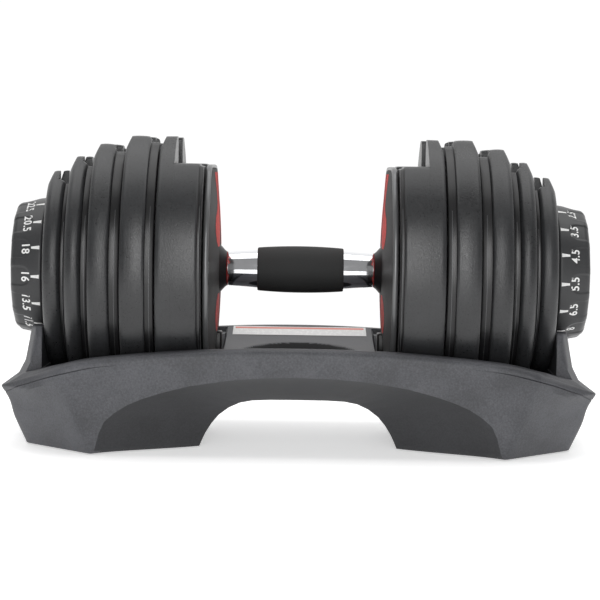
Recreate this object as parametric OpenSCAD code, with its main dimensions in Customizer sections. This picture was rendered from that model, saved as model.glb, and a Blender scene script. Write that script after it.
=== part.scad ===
// Adjustable dial dumbbell in its storage tray, millimetres, +Z up, X along the handle.
// The tray stands on its rubber feet at z = 0 and the middle of its underside is the origin.
// One side is drawn at +X; the other is the same set of parts turned half round about Z.

/* [Handle] */
// Height of the handle axis above the floor
axis_h = 125.5; // [122:0.5:150]
// Half length of the rubber grip
grip_half = 31.6; // [25:0.2:45]
// Grip radius at the middle of the barrel
grip_mid_r = 17.15; // [15:0.05:20]
// Grip radius at its ends
grip_end_r = 15.9; // [14.8:0.05:18]
// Radius of the chromed tube under and beside the grip
tube_r = 14; // [12:0.1:16]
// Tube radius where it meets the hub cone
tube_neck_r = 12.4; // [11:0.1:15]
// Distance from the middle to the end of the chromed tube
tube_half = 53; // [45:0.5:70]
// Radius of the steel tie rod through the whole dumbbell
rod_r = 6; // [4:0.5:8]

/* [End frames] */
// Width of the red ring beside the tube
ring_w = 1; // [0.6:0.1:3]
// Length of the hub cone
hub_len = 6; // [4:0.5:12]
// Radius of the hub cone at the frame
hub_r = 18.6; // [16:0.1:24]
// Radius of the end frame disc
frame_r = 88; // [70:0.5:100]
// Height of the frame's flat top above the axis
frame_flat = 76; // [60:0.5:86]
// Thickness of the frame at its rim
frame_rim_t = 4; // [3:0.5:8]
// How far the frame's face is dished from hub to rim
frame_dish = 4.8; // [2:0.2:10]

/* [Plates] */
// Radius of plate 1, the outermost
plate1_r = 76; // [60:0.5:90]
// Radius of plate 2
plate2_r = 87.5; // [60:0.5:95]
// Radius of plate 3
plate3_r = 97.5; // [60:0.5:105]
// Radius of plate 4
plate4_r = 104; // [60:0.5:108]
// Radius of plate 5, beside the frame
plate5_r = 104; // [60:0.5:108]
// Thickness of plate 1
plate1_t = 15.7; // [13:0.1:25]
// Thickness of plate 2
plate2_t = 16.3; // [13:0.1:25]
// Thickness of plate 3
plate3_t = 22; // [14:0.1:30]
// Thickness of plate 4
plate4_t = 23.5; // [14:0.1:30]
// Thickness of plate 5
plate5_t = 31.5; // [28:0.1:40]
// Flat top of each plate below its full radius, as a share of the radius
top_share = 0.925; // [0.9:0.005:0.97]
// Width of the slanting cut at the top outer corner of each plate
top_cut_w = 3.4; // [1:0.1:6]
// Height of that cut
top_cut_h = 10; // [5:0.5:20]
// Width of the thicker, lower shoulder on plate 5
shoulder_w = 20.4; // [12:0.1:22]
// Height of that shoulder's flat top above the axis
shoulder_h = 77; // [60:0.5:90]
// Gap between neighbouring plates
plate_gap = 0.9; // [0.4:0.1:2]
// Half width of the open slot that lets the spindle rise
slot_half = 24.5; // [22.5:0.1:27]
// Wall of the moulded plate cover
cover_t = 2.2; // [1.5:0.1:4]
// Depth of the channel that takes a selector disc
channel_d = 8.2; // [7:0.1:9]

/* [Selectors] */
// Radius of the selector discs
disc_r = 36.5; // [34:0.5:40]
// Radius of the spindle that carries the discs
spindle_r = 20; // [16:0.1:21]
// Inner radius of the lifting rib on each disc
rib_in_r = 31; // [30:0.1:33]
// Number of dial settings
settings = 15; // [15:1:15]

/* [Dials] */
// Length of the dial along the handle
dial_len = 22.7; // [16:0.1:30]
// Dial radius at the plate side
dial_r = 50.2; // [46:0.1:52]
// Dial radius at the outer edge
dial_out_r = 46.6; // [42:0.1:49]
// Space between plate 1 and the dial
dial_gap = 3.8; // [2:0.1:8]

/* [Tray] */
// Tray length from end to end
tray_l = 426; // [410:1:480]
// Tray width over its rims
tray_w = 214; // [212:1:250]
// Height of the rims in the middle
rim_h = 76.2; // [70:0.1:90]
// Radius of the long curve along the rims
rim_curve_r = 1196; // [900:1:2000]
// Height of the widest point of the tray's ends
end_h = 43; // [36:0.5:50]
// Moulding wall
wall = 3; // [2:0.1:4]
// Depth of the seam below the rim
seam_drop = 6; // [4:0.5:10]
// Half width of the arch between the feet
arch_half = 70.7; // [50:0.5:75]
// Height of the arch
arch_h = 34; // [25:0.5:36]
// How far the rubber feet stand out of the tray's underside
foot_out = 1; // [0.6:0.1:3]

/* [Fits] */
// Running clearance on the tie rod and lock pins
run_fit = 0.06; // [0.02:0.01:0.1]
// Clearance of pieces set into one another
set_fit = 0.05; // [0.02:0.01:0.2]
// Room between a plate and its well
well_gap = 1.2; // [0.6:0.1:3]

/* [Hidden] */
$fn = 96;
long_fn = 1440;

LEFT = 180;
RIGHT = 0;
big = 600;

// Plates are numbered 1 to 5 from the dial inward; index 0 is unused.
plate_r = [0, plate1_r, plate2_r, plate3_r, plate4_r, plate5_r];
plate_t = [0, plate1_t, plate2_t, plate3_t, plate4_t, plate5_t];
ring_x = tube_half;
hub_x = ring_x + ring_w;
frame_x = hub_x + hub_len - 0.8;
rim_x = frame_x + frame_dish;
frame_out_x = rim_x + frame_rim_t;
// Inner face of each plate: the stack starts at the frame and works outward.
function plate_in(k) = k == 5 ? frame_out_x + plate_gap
                              : plate_in(k + 1) + plate_t[k + 1] + plate_gap;
function plate_out(k) = plate_in(k) + plate_t[k];
function floor_x(k) = plate_in(k) + channel_d;
stack_out = plate_out(1);
dial_x = stack_out + dial_gap;
dial_end = dial_x + dial_len;

// Which plates each setting picks up, lightest setting first.
PICKS = [
  [], [1], [2], [1, 2], [2, 3], [1, 2, 3], [4], [1, 4],
  [5], [2, 5], [2, 3, 5], [4, 5], [2, 4, 5], [2, 3, 4, 5], [1, 2, 3, 4, 5]
];
step = 360 / settings;
web_t = 2.6;
disc_side = 0.8;
rib_out_r = rib_in_r + 4;
hook_out_r = rib_in_r - 1;
hook_in_r = hook_out_r - 4.5;
hook_half = 6;
channel_half = disc_r + 1.5;

// Lock pin under the frame, and the tray post that holds it up.
lock_x = frame_x + 1;
lock_w = 14;
lock_top = -46;
lock_bot = -66;
pin_r = 1.4;
pin_out = 4;
pin_gap = 0.3;

// Tray proportions that follow its length, width and the plates.
tray_z = foot_out;
end_x = tray_l / 2;
rim_y = tray_w / 2;
foot_end_x = end_x - 16.5;
foot_y = rim_y - 7;
corner_top = (end_x + rim_y - 47) / sqrt(2);
corner_foot = corner_top - 20.3;
slope_x = end_x - 52;
slope_h = rim_h - 10.7;
seam_gap = 0.4;
well_t = 2.5;
deck_half = frame_x - 1.2;
well_end = stack_out + 1.2;
cheek_half = 60;
cheek_h = axis_h - 40;
// Outer face of the end walls at their top; each wall hangs on the end of the plate stack.
cheek_x = stack_out + 10.5;

// A cylinder or cone along the handle, measured from the axis.
module xcyl(x0, x1, r1, r2 = -1) {
  translate([x0, 0, 0]) rotate([0, 90, 0])
    cylinder(h = x1 - x0, r1 = r1, r2 = r2 < 0 ? r1 : r2);
}

module xbox(x0, x1, y0, y1, z0, z1) {
  translate([x0, y0, z0]) cube([x1 - x0, y1 - y0, z1 - z0]);
}

// Everything of the dumbbell stands on the handle axis; side picks the end.
module at_axis(side = RIGHT) {
  translate([0, 0, axis_h]) rotate([0, 0, side]) children();
}

// ---- handle ----

module handle_tube() {
  color([0.82, 0.83, 0.85]) at_axis() difference() {
    union() {
      xcyl(-grip_half, grip_half, tube_r);
      for (s = [LEFT, RIGHT]) rotate([0, 0, s])
        xcyl(grip_half, tube_half, tube_r, tube_neck_r);
    }
    xcyl(-big, big, rod_r + set_fit);
  }
}

module grip_sleeve() {
  barrel = grip_half / 3;
  color([0.13, 0.13, 0.13]) at_axis() difference() {
    union() {
      xcyl(-barrel, barrel, grip_mid_r);
      for (s = [LEFT, RIGHT]) rotate([0, 0, s]) {
        xcyl(barrel, grip_half - 1.2, grip_mid_r, grip_end_r);
        xcyl(grip_half - 1.2, grip_half, grip_end_r, grip_end_r - 0.9);
      }
    }
    xcyl(-big, big, tube_r + set_fit);
  }
}

module tie_rod() {
  color([0.6, 0.6, 0.62]) at_axis() difference() {
    xcyl(-rod_end, rod_end, rod_r);
    for (s = [LEFT, RIGHT]) rotate([0, 0, s])
      xcyl(rod_end - 14, rod_end + 1, screw_r + set_fit);
  }
}
rod_end = dial_end - 8.5;
screw_r = 3;

// ---- end frames ----

module hub_ring(side) {
  color([0.8, 0.12, 0.1]) at_axis(side) difference() {
    xcyl(ring_x, hub_x, tube_neck_r + 0.6);
    xcyl(0, big, rod_r + set_fit);
  }
}

module hub_cone(side) {
  color([0.12, 0.12, 0.13]) at_axis(side) difference() {
    xcyl(hub_x, hub_x + hub_len, tube_neck_r, hub_r);
    xcyl(0, big, rod_r + set_fit);
  }
}

// A dished disc with a flat top, a socket for the spindle and the lock housing.
module end_frame(side) {
  color([0.16, 0.16, 0.17]) at_axis(side) difference() {
    union() {
      intersection() {
        union() {
          xcyl(frame_x, rim_x, hub_r + 2, frame_r - 1.5);
          xcyl(rim_x, frame_out_x, frame_r);
        }
        xbox(0, big, -big, big, -big, frame_flat);
      }
      xbox(lock_x - 3.2, rim_x, -lock_w / 2, lock_w / 2, lock_bot, lock_top);
    }
    xcyl(0, hub_x + hub_len + 0.05, hub_r + set_fit);
    xcyl(0, big, rod_r + set_fit);
    xcyl(frame_out_x - 2, big, spindle_r + run_fit);
    translate([lock_x, 0, lock_bot - 1]) cylinder(h = lock_top - lock_bot - 1, r = pin_r + run_fit);
    translate([lock_x, 0, collar_z - pin_out - 0.4])
      cylinder(h = spring_top - collar_z + pin_out + 0.6, r = pin_r + 0.9);
    // Shallow seat for the printed trim
    trim_band(-1, trim_t + set_fit, set_fit);
  }
}

// A band of the dished face between two radii, from depth d0 to depth d1 and grown sideways.
module trim_band(d0, d1, grow) {
  a = trim_in_r - grow;
  b = trim_out_r + grow;
  difference() {
    rotate([0, 90, 0]) rotate_extrude()
      polygon([[a, face_x(a) + d0], [b, face_x(b) + d0], [b, face_x(b) + d1], [a, face_x(a) + d1]]);
    xbox(0, big, -big, big, frame_flat - 8 + grow, big);
    xbox(0, big, -lock_w / 2 - 1 + grow, lock_w / 2 + 1 - grow, -big, 0);
  }
}
// Where the dished face stands at radius r.
function face_x(r) = frame_x + (r - hub_r - 2) * frame_dish / (frame_r - 1.5 - hub_r - 2);
trim_t = 0.6;
trim_in_r = frame_r - 36;
trim_out_r = frame_r - 10;

module face_trim(side) {
  color([0.85, 0.25, 0.25]) at_axis(side) trim_band(0, trim_t, 0);
}

module lock_pin(side) {
  color([0.7, 0.7, 0.72]) at_axis(side) translate([lock_x, 0, 0]) {
    translate([0, 0, lock_bot - pin_out]) cylinder(h = collar_z - lock_bot + pin_out, r = pin_r);
    translate([0, 0, collar_z]) cylinder(h = collar_t, r = pin_r + 0.8);
  }
}
collar_z = lock_top - 8.8;
collar_t = 1.2;
spring_top = lock_top - 1.8;

// Return spring between the pin's collar and the housing, as its stack of coils.
module lock_spring(side) {
  z0 = collar_z + collar_t + 0.05;
  pitch = (spring_top - z0 - 0.9) / 3;
  color([0.65, 0.65, 0.68]) at_axis(side) translate([lock_x, 0, z0]) {
    for (i = [0:3]) translate([0, 0, i * pitch]) difference() {
      cylinder(h = 0.9, r = pin_r + 0.75);
      translate([0, 0, -1]) cylinder(h = 3, r = pin_r - 0.2);
    }
    for (a = [0, 180]) rotate([0, 0, a])
      translate([pin_r + 0.1, -0.3, 0]) cube([0.5, 0.6, spring_top - z0 - 0.1]);
  }
}

module end_screw(side) {
  color([0.55, 0.55, 0.57]) at_axis(side) difference() {
    union() {
      xcyl(rod_end - 12, rod_end + 0.1, screw_r);
      xcyl(rod_end + 0.1, rod_end + 4, 9.5);
    }
    translate([rod_end + 2, 0, 0]) rotate([0, 90, 0]) cylinder(h = 5, r = 3, $fn = 6);
  }
}

// ---- selectors ----

// The stub that carries the discs and the dial, turning on the tie rod.
module spindle(side) {
  color([0.2, 0.2, 0.21]) at_axis(side) difference() {
    xcyl(frame_out_x - 1.7, dial_x + 5, spindle_r);
    xcyl(0, big, rod_r + run_fit);
  }
}

// A thin disc with lifting ribs under every setting that picks up plate k.
module selector_disc(side, k) {
  x0 = plate_in(k) + disc_side;
  color([0.26, 0.26, 0.27]) at_axis(side) {
    difference() {
      xcyl(x0, x0 + web_t, disc_r);
      xcyl(0, big, spindle_r + set_fit);
    }
    difference() {
      xcyl(x0 + web_t, floor_x(k) - 0.5, spindle_r + 4);
      xcyl(0, big, spindle_r + set_fit);
    }
    for (i = [1:settings - 1]) if (picked(k, i) && !picked(k, i - 1))
      translate([x0 + web_t, 0, 0]) rotate([(i + run(k, i) + 0.5) * step + 180, 0, 0])
        rotate([0, 90, 0]) rotate([0, 0, 180 - run(k, i) * step])
          rib(run(k, i) * step, floor_x(k) - 0.5 - x0 - web_t);
  }
}
function picked(k, i) = len(search(k, PICKS[i])) > 0;
// How many settings in a row, from i on, pick up plate k.
function run(k, i) = i < settings && picked(k, i) ? 1 + run(k, i + 1) : 0;

// A stretch of lifting rib of angle a and height h.
module rib(a, h) {
  rotate_extrude(angle = a) translate([rib_in_r, 0]) square([rib_out_r - rib_in_r, h]);
}

module dial(side) {
  edge = 3.2;
  color([0.2, 0.2, 0.21]) at_axis(side) difference() {
    union() {
      xcyl(dial_x, dial_x + 1.5, dial_r - 1, dial_r);
      xcyl(dial_x + 1.5, dial_end - edge, dial_r, dial_out_r);
      xcyl(dial_end - edge, dial_end - edge / 3, dial_out_r, dial_out_r - 1);
      xcyl(dial_end - edge / 3, dial_end, dial_out_r - 1, dial_out_r - edge);
    }
    // One shallow finger flat beside every numeral
    for (i = [0:settings - 1]) rotate([i * step, 0, 0]) rotate([0, flat_tilt, 0])
      xbox(dial_x + 6, big, -flat_half, flat_half, flat_z, big);
    // Dished outer face
    xcyl(dial_end - 1.6, big, dial_out_r - 9);
    xcyl(0, big, rod_r + run_fit);
    xcyl(0, dial_x + 5.2, spindle_r + set_fit);
    xcyl(rod_end - 0.4, big, cap_r + set_fit);
  }
}
flat_tilt = atan((dial_r - dial_out_r) / (dial_len - 4.7));
flat_half = 6.5;
flat_z = dial_r * cos(flat_tilt) + dial_x * sin(flat_tilt) - 1.1;
cap_r = 13;

module dial_cap(side) {
  color([0.17, 0.17, 0.18]) at_axis(side) {
    xcyl(dial_end - 3.6, dial_end - 1, cap_r);
    xcyl(dial_end - 1, dial_end - 0.4, cap_r, cap_r - 1);
  }
}

// ---- plates ----

// The plate's outline as a solid, drawn in by inset on every free side.
module plate_form(k, inset, x0, x1) {
  r = plate_r[k] - inset;
  c = inset > 0 ? 0 : 1.2;
  top = plate_r[k] * top_share - inset;
  difference() {
    union() {
      xcyl(x0, x0 + c + 0.01, r - c, r);
      xcyl(x0 + c, x1 - c, r);
      xcyl(x1 - c - 0.01, x1, r, r - c);
    }
    xbox(0, big, -big, big, top, big);
    if (k == 5) xbox(0, plate_in(5) + shoulder_w + inset, -big, big, shoulder_h - inset, big);
    // Spindle slot, open at the top
    xcyl(0, big, slot_half + inset);
    xbox(0, big, -slot_half - inset, slot_half + inset, 0, big);
    // The horns are cut off aslant at their outer top corner
    translate([plate_out(k) - inset, 0, top - top_cut_h])
      rotate([0, -atan(top_cut_w / top_cut_h), 0]) xbox(0, 40, -big, big, 0, 80);
  }
}

// Room for the selector disc, open at the top and on the inner face.
module channel(k, grow = 0) {
  xcyl(0, floor_x(k), channel_half + grow);
  xbox(0, floor_x(k), -channel_half - grow, channel_half + grow, 0, big);
}

module plate_cover(side, k) {
  color([0.27, 0.28, 0.29]) at_axis(side) difference() {
    plate_form(k, 0, plate_in(k), plate_out(k));
    plate_form(k, cover_t, plate_in(k) - 1, plate_out(k) - cover_t);
    channel(k);
  }
}

// Steel plate inside the cover; the step leaves the disc channel and carries the lifting hook.
module plate_core(side, k) {
  g = cover_t + set_fit;
  color([0.5, 0.5, 0.52]) at_axis(side) {
    difference() {
      plate_form(k, g, core_in(k), plate_out(k) - g);
      channel(k, 1);
    }
    intersection() {
      xcyl(plate_in(k) + disc_side + web_t + 0.5, floor_x(k) + 0.5, hook_out_r);
      difference() {
        xbox(0, big, -hook_half, hook_half, -big, 0);
        xcyl(0, big, hook_in_r);
      }
    }
  }
}
core_fill = [0, 8, 7, 8.2, 6.5, 6.5];
function core_in(k) = plate_in(k) + min(core_fill[k], channel_d);

// ---- tray ----

// A long bar with the given outline, running square to the direction at angle a.
module bar(a, pts) {
  rotate([0, 0, a]) rotate([90, 0, 0]) linear_extrude(height = big, center = true) polygon(pts);
}

// Half an outline from the foot upward, closed by its own mirror image.
function both_ways(pts) =
  concat(pts, [for (i = [len(pts) - 1:-1:0]) if (pts[i][0] > 0) [-pts[i][0], pts[i][1]]]);
bulge_h = end_h - 18;

// The tray's outer form below its rim curve, drawn in by inset, its top lowered by drop.
module tray_form(inset, drop) {
  i = inset;
  top = rim_h - drop;
  intersection() {
    bar(0, both_ways([[foot_end_x - i, tray_z], [end_x - 8 - i, bulge_h], [end_x - 6.5 - i, bulge_h + 7],
                      [end_x - i, end_h], [end_x - i, end_h + 1], [slope_x, slope_h - drop],
                      [0, top + 14]]));
    bar(90, [[-foot_y + i, tray_z], [foot_y - i, tray_z], [rim_y - i, 62], [rim_y - i, top + 1],
             [-rim_y + i, top + 1], [-rim_y + i, 62]]);
    for_corner(45, i, top);
    for_corner(-45, i, top);
    translate([0, 0, rim_h - rim_curve_r]) rotate([90, 0, 0])
      cylinder(h = big, r = rim_curve_r - drop, center = true, $fn = long_fn);
  }
}

module for_corner(a, i, top) {
  bar(a, both_ways([[corner_foot - i, tray_z], [corner_top - 9 - i, bulge_h],
                    [corner_top - 7 - i, bulge_h + 7], [corner_top - i, end_h], [corner_top - i, top + 1]]));
}

// Rounded outer edge of the rim, as two bevels swept along the long curve.
module rim_bevel() {
  translate([0, 0, rim_h - rim_curve_r]) rotate([90, 0, 0])
    for (s = [-1, 1]) {
      translate([0, 0, s * (rim_y + big / 2 - 2.2)]) difference() {
        cylinder(h = big, r = rim_curve_r + 1, center = true, $fn = long_fn);
        cylinder(h = big + 1, r = rim_curve_r - 2.2, center = true, $fn = long_fn);
      }
      translate([0, 0, s * (rim_y - 5.2)])
        rotate([s > 0 ? 0 : 180, 0, 0]) difference() {
          cylinder(h = 6, r = rim_curve_r + 2, $fn = long_fn);
          translate([0, 0, -0.01])
            cylinder(h = 6.1, r1 = rim_curve_r, r2 = rim_curve_r - 4.4, $fn = long_fn);
        }
    }
}

// The stack of round wells that cradle the frame, the plates and the dial.
module wells(grow, ends) {
  wg = well_gap + grow;
  at_axis() for (s = [LEFT, RIGHT]) rotate([0, 0, s]) {
    xcyl(deck_half - ends, plate_in(5) - plate_gap / 2 + ends, frame_r + wg);
    for (k = [1:5]) xcyl(plate_in(k) - plate_gap / 2 - ends, plate_out(k) + plate_gap / 2 + ends,
                         plate_r[k] + wg);
  }
}

// Opening through the rim over the wells, with cut-off outer corners.
module well_mouth() {
  y0 = plate5_r * 0.91;
  x0 = plate_in(5) - plate_gap / 2;
  for (s = [LEFT, RIGHT]) rotate([0, 0, s])
    translate([0, 0, slope_h - 14]) linear_extrude(height = 80)
      polygon([[deck_half, -72], [x0, -72], [x0, -y0], [well_end - 19, -y0], [well_end, -y0 + 21],
               [well_end, y0 - 21], [well_end - 19, y0], [x0, y0], [x0, 72], [deck_half, 72]]);
}

module arch_outline(grow) {
  g = grow;
  polygon([[-arch_half - g, -1], [arch_half + g, -1], [arch_half + g, 0],
           [arch_half - 2.5 + g, arch_h * 0.3], [arch_half - 9 + g, arch_h * 0.6],
           [arch_half - 19 + g, arch_h * 0.86 + g * 0.7], [arch_half - 34 + g, arch_h + g],
           [-arch_half + 34 - g, arch_h + g], [-arch_half + 19 - g, arch_h * 0.86 + g * 0.7],
           [-arch_half + 9 - g, arch_h * 0.6], [-arch_half + 2.5 - g, arch_h * 0.3],
           [-arch_half - g, 0]]);
}

// Wide mouth of the arch on the tray's front and back.
module mouth_outline(grow) {
  g = grow;
  half = [for (p = [[145, 0], [138, 20], [130, 30.5], [116, 37.7], [95, 44], [75, 49], [49, 53]])
            [p[0] * arch_half / 70.7 + g, p[1] * arch_h / 34 + (p[1] > 0 ? g : 0)]];
  polygon(concat([[-half[0][0], -1], [half[0][0], -1]], half, [[0, 55.6 * arch_h / 34 + g]],
                 [for (i = [len(half) - 1:-1:0]) [-half[i][0], half[i][1]]]));
}

// The way through between the feet, flared towards front and back.
module arch(grow) {
  translate([0, 0, tray_z]) {
    rotate([90, 0, 0]) linear_extrude(height = big, center = true) arch_outline(grow);
    for (s = [0, 180]) rotate([0, 0, s]) hull() {
      translate([0, -rim_y / 2, 0]) rotate([90, 0, 0]) linear_extrude(height = 0.1)
        arch_outline(grow);
      translate([0, -rim_y + 4, 0]) rotate([90, 0, 0]) linear_extrude(height = 4.1)
        mouth_outline(grow);
    }
  }
}

// Screw posts and feet stand in mirrored sets of four.
module each_foot(x, y) {
  for (sx = [-1, 1], sy = [-1, 1]) translate([sx * x, sy * y, 0]) children();
}
screw_x = (plate_in(4) + plate_out(4)) / 2;
screw_y = 40;
pad_x = (plate_in(2) + plate_out(2)) / 2 - 4;
pad_y = 62;
pad_r = 8;

module tray_base() {
  color([0.33, 0.335, 0.36]) difference() {
    tray_form(0, seam_drop + seam_gap);
    difference() {
      tray_form(wall, seam_drop - 1);
      translate([0, 0, -1]) arch(wall);
      xbox(-big, big, -big, big, 0, tray_z + wall);
    }
    arch(0);
    wells(well_t + 0.4, well_t + 0.4);
    // Room for the feet of the end walls
    for (s = [LEFT, RIGHT]) rotate([0, 0, s])
      xbox(stack_out, end_x - 4.6, -cheek_half - 0.4, cheek_half + 0.4, end_h - 1, 100);
    each_foot(screw_x, screw_y) {
      cylinder(h = 20, r = 2.3);
      cylinder(h = tray_z + 1.5, r = 4.6);
    }
    each_foot(pad_x, pad_y) cylinder(h = tray_z + 1, r = pad_r + set_fit);
  }
}

module tray_deck() {
  // Posts that push the lock pins up when the dumbbell is parked
  color([0.36, 0.365, 0.39]) release_posts();
  color([0.36, 0.365, 0.39]) difference() {
    union() {
      difference() {
        tray_form(0, 0);
        translate([0, 0, rim_h - rim_curve_r]) rotate([90, 0, 0])
          cylinder(h = big + 2, r = rim_curve_r - seam_drop, center = true,
                   $fn = long_fn);
        rim_bevel();
      }
      intersection() {
        tray_form(wall + 0.3, 2);
        union() {
          wells(well_t, well_t);
          finger_dish(well_t);
          saddle(well_t);
        }
      }
      cheeks();
      intersection() {
        each_foot(screw_x, screw_y) cylinder(h = 40, r = 5);
        xbox(-big, big, -big, big, tray_z + wall + 0.1, 40);
      }
    }
    wells(0, 0);
    well_mouth();
    finger_dish(0);
    saddle(0);
    // Room for the lock housings and their pins
    for (s = [LEFT, RIGHT]) rotate([0, 0, s])
      xbox(lock_x - 4.8, lock_x + 3, -lock_w / 2 - 2, lock_w / 2 + 2, axis_h + lock_bot - pin_out - 2, 100);
    // Pilot holes for the tray screws
    each_foot(screw_x, screw_y) cylinder(h = 15, r = 1.8 + set_fit);
  }
}
saddle_z = rim_h - 11;
saddle_r = 470;

module release_posts() {
  z0 = axis_h - frame_r - well_gap - well_t / 2;
  for (s = [-1, 1]) translate([s * lock_x, 0, z0])
    cylinder(h = axis_h + lock_bot - pin_out - pin_gap - z0, r = pin_r + 0.5);
}

// Hollowed saddle between the wells.
module saddle(grow) {
  translate([0, 0, saddle_z + saddle_r]) rotate([0, 90, 0])
    cylinder(h = 2 * (deck_half + grow), r = saddle_r + grow, center = true, $fn = 720);
}

module finger_dish(grow) {
  translate([0, 0, saddle_z - dish_depth + dish_r]) sphere(r = dish_r + grow);
}
dish_depth = 16;
dish_r = 60;

// End walls that rise under the dials.
module cheeks() {
  difference() {
    intersection() {
      bar(0, both_ways([[end_x - 10, end_h - 6], [end_x - 5, end_h + 2.5], [end_x - 16, end_h + 17],
                        [cheek_x, cheek_h]]));
      for (a = [45, -45]) bar(a, both_ways([[corner_top - 16.5, 0], [corner_top - 16.5, end_h - 3],
                                            [corner_top - 9, end_h + 8], [corner_top - 12, 100]]));
      xbox(-big, big, -cheek_half, cheek_half, 0, 100);
    }
    xbox(-stack_out - 1, stack_out + 1, -big, big, 0, 100);
    at_axis() for (s = [LEFT, RIGHT]) rotate([0, 0, s]) xcyl(stack_out, big, dial_r + 1.3);
    for (s = [LEFT, RIGHT]) rotate([0, 0, s])
      xbox(stack_out + 7.5, cheek_x - 1, -cheek_half + 12, cheek_half - 12, 0, axis_h - dial_r - 5);
  }
}

module tray_screws() {
  color([0.6, 0.6, 0.62]) each_foot(screw_x, screw_y) difference() {
    union() {
      translate([0, 0, tray_z + 1.5]) cylinder(h = 12, r = 1.8);
      translate([0, 0, tray_z + 0.1]) cylinder(h = 1.4, r1 = 3.6, r2 = 4);
    }
    for (a = [0, 90]) rotate([0, 0, a]) translate([-1.8, -0.35, 0]) cube([3.6, 0.7, tray_z + 0.9]);
  }
}

module tray_feet() {
  color([0.1, 0.1, 0.1]) each_foot(pad_x, pad_y) {
    cylinder(h = 0.5, r1 = pad_r - 0.6, r2 = pad_r);
    translate([0, 0, 0.5]) cylinder(h = tray_z + 0.5, r = pad_r);
  }
}

// Printed notice on the rear slope of the saddle.
module tray_label() {
  color([0.92, 0.92, 0.92]) intersection() {
    difference() {
      translate([0, 0, saddle_z + saddle_r]) rotate([0, 90, 0])
        cylinder(h = 120, r = saddle_r, center = true, $fn = 720);
      translate([0, 0, saddle_z + saddle_r]) rotate([0, 90, 0])
        cylinder(h = 130, r = saddle_r - 0.25, center = true, $fn = 720);
    }
    xbox(-label_l / 2, label_l / 2, label_y, label_y + label_w, 40, 90);
  }
}
label_l = 104;
label_w = 26;
label_y = 70;

tray_base();
tray_deck();
tray_screws();
tray_feet();
tray_label();
handle_tube();
grip_sleeve();
tie_rod();
hub_ring(LEFT);  // left_hub_ring
hub_cone(LEFT);  // left_hub_cone
end_frame(LEFT);  // left_end_frame
face_trim(LEFT);  // left_face_trim
lock_pin(LEFT);  // left_lock_pin
lock_spring(LEFT);  // left_lock_spring
end_screw(LEFT);  // left_end_screw
spindle(LEFT);  // left_spindle
selector_disc(LEFT, 1);  // left_disc_1
selector_disc(LEFT, 2);  // left_disc_2
selector_disc(LEFT, 3);  // left_disc_3
selector_disc(LEFT, 4);  // left_disc_4
selector_disc(LEFT, 5);  // left_disc_5
dial(LEFT);  // left_dial
dial_cap(LEFT);  // left_dial_cap
plate_cover(LEFT, 1);  // left_plate_1_cover
plate_cover(LEFT, 2);  // left_plate_2_cover
plate_cover(LEFT, 3);  // left_plate_3_cover
plate_cover(LEFT, 4);  // left_plate_4_cover
plate_cover(LEFT, 5);  // left_plate_5_cover
plate_core(LEFT, 1);  // left_plate_1_core
plate_core(LEFT, 2);  // left_plate_2_core
plate_core(LEFT, 3);  // left_plate_3_core
plate_core(LEFT, 4);  // left_plate_4_core
plate_core(LEFT, 5);  // left_plate_5_core
hub_ring(RIGHT);  // right_hub_ring
hub_cone(RIGHT);  // right_hub_cone
end_frame(RIGHT);  // right_end_frame
face_trim(RIGHT);  // right_face_trim
lock_pin(RIGHT);  // right_lock_pin
lock_spring(RIGHT);  // right_lock_spring
end_screw(RIGHT);  // right_end_screw
spindle(RIGHT);  // right_spindle
selector_disc(RIGHT, 1);  // right_disc_1
selector_disc(RIGHT, 2);  // right_disc_2
selector_disc(RIGHT, 3);  // right_disc_3
selector_disc(RIGHT, 4);  // right_disc_4
selector_disc(RIGHT, 5);  // right_disc_5
dial(RIGHT);  // right_dial
dial_cap(RIGHT);  // right_dial_cap
plate_cover(RIGHT, 1);  // right_plate_1_cover
plate_cover(RIGHT, 2);  // right_plate_2_cover
plate_cover(RIGHT, 3);  // right_plate_3_cover
plate_cover(RIGHT, 4);  // right_plate_4_cover
plate_cover(RIGHT, 5);  // right_plate_5_cover
plate_core(RIGHT, 1);  // right_plate_1_core
plate_core(RIGHT, 2);  // right_plate_2_core
plate_core(RIGHT, 3);  // right_plate_3_core
plate_core(RIGHT, 4);  // right_plate_4_core
plate_core(RIGHT, 5);  // right_plate_5_core
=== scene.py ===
# Adjustable dial dumbbell parked in its storage tray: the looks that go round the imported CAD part.
# Lengths in the tables are millimetres and are turned into metres where a mesh is made.
import math
import bpy
import bmesh
from mathutils import Matrix, Vector


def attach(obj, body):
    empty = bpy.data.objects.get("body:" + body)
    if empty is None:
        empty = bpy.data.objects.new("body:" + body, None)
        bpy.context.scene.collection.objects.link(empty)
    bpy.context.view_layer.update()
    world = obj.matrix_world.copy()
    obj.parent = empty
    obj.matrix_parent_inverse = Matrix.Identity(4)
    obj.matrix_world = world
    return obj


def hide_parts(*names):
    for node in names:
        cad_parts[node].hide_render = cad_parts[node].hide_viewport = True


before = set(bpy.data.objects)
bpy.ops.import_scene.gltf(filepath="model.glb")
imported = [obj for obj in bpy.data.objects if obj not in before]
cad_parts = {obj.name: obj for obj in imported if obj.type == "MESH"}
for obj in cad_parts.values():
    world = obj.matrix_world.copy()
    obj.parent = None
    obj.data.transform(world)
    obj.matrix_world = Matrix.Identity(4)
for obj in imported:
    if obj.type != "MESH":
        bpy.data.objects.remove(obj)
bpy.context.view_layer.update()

# ---------------------------------------------------------------------------
# Tray, lower moulding. An injection-moulded skirt of slate grey ABS with a spark-eroded
# texture; two feet with an arch between them that flares towards the front and back.
# ---------------------------------------------------------------------------

MM = 0.001
AXIS_H = 125.5
SIDES = {"left": -1, "right": 1}


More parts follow.
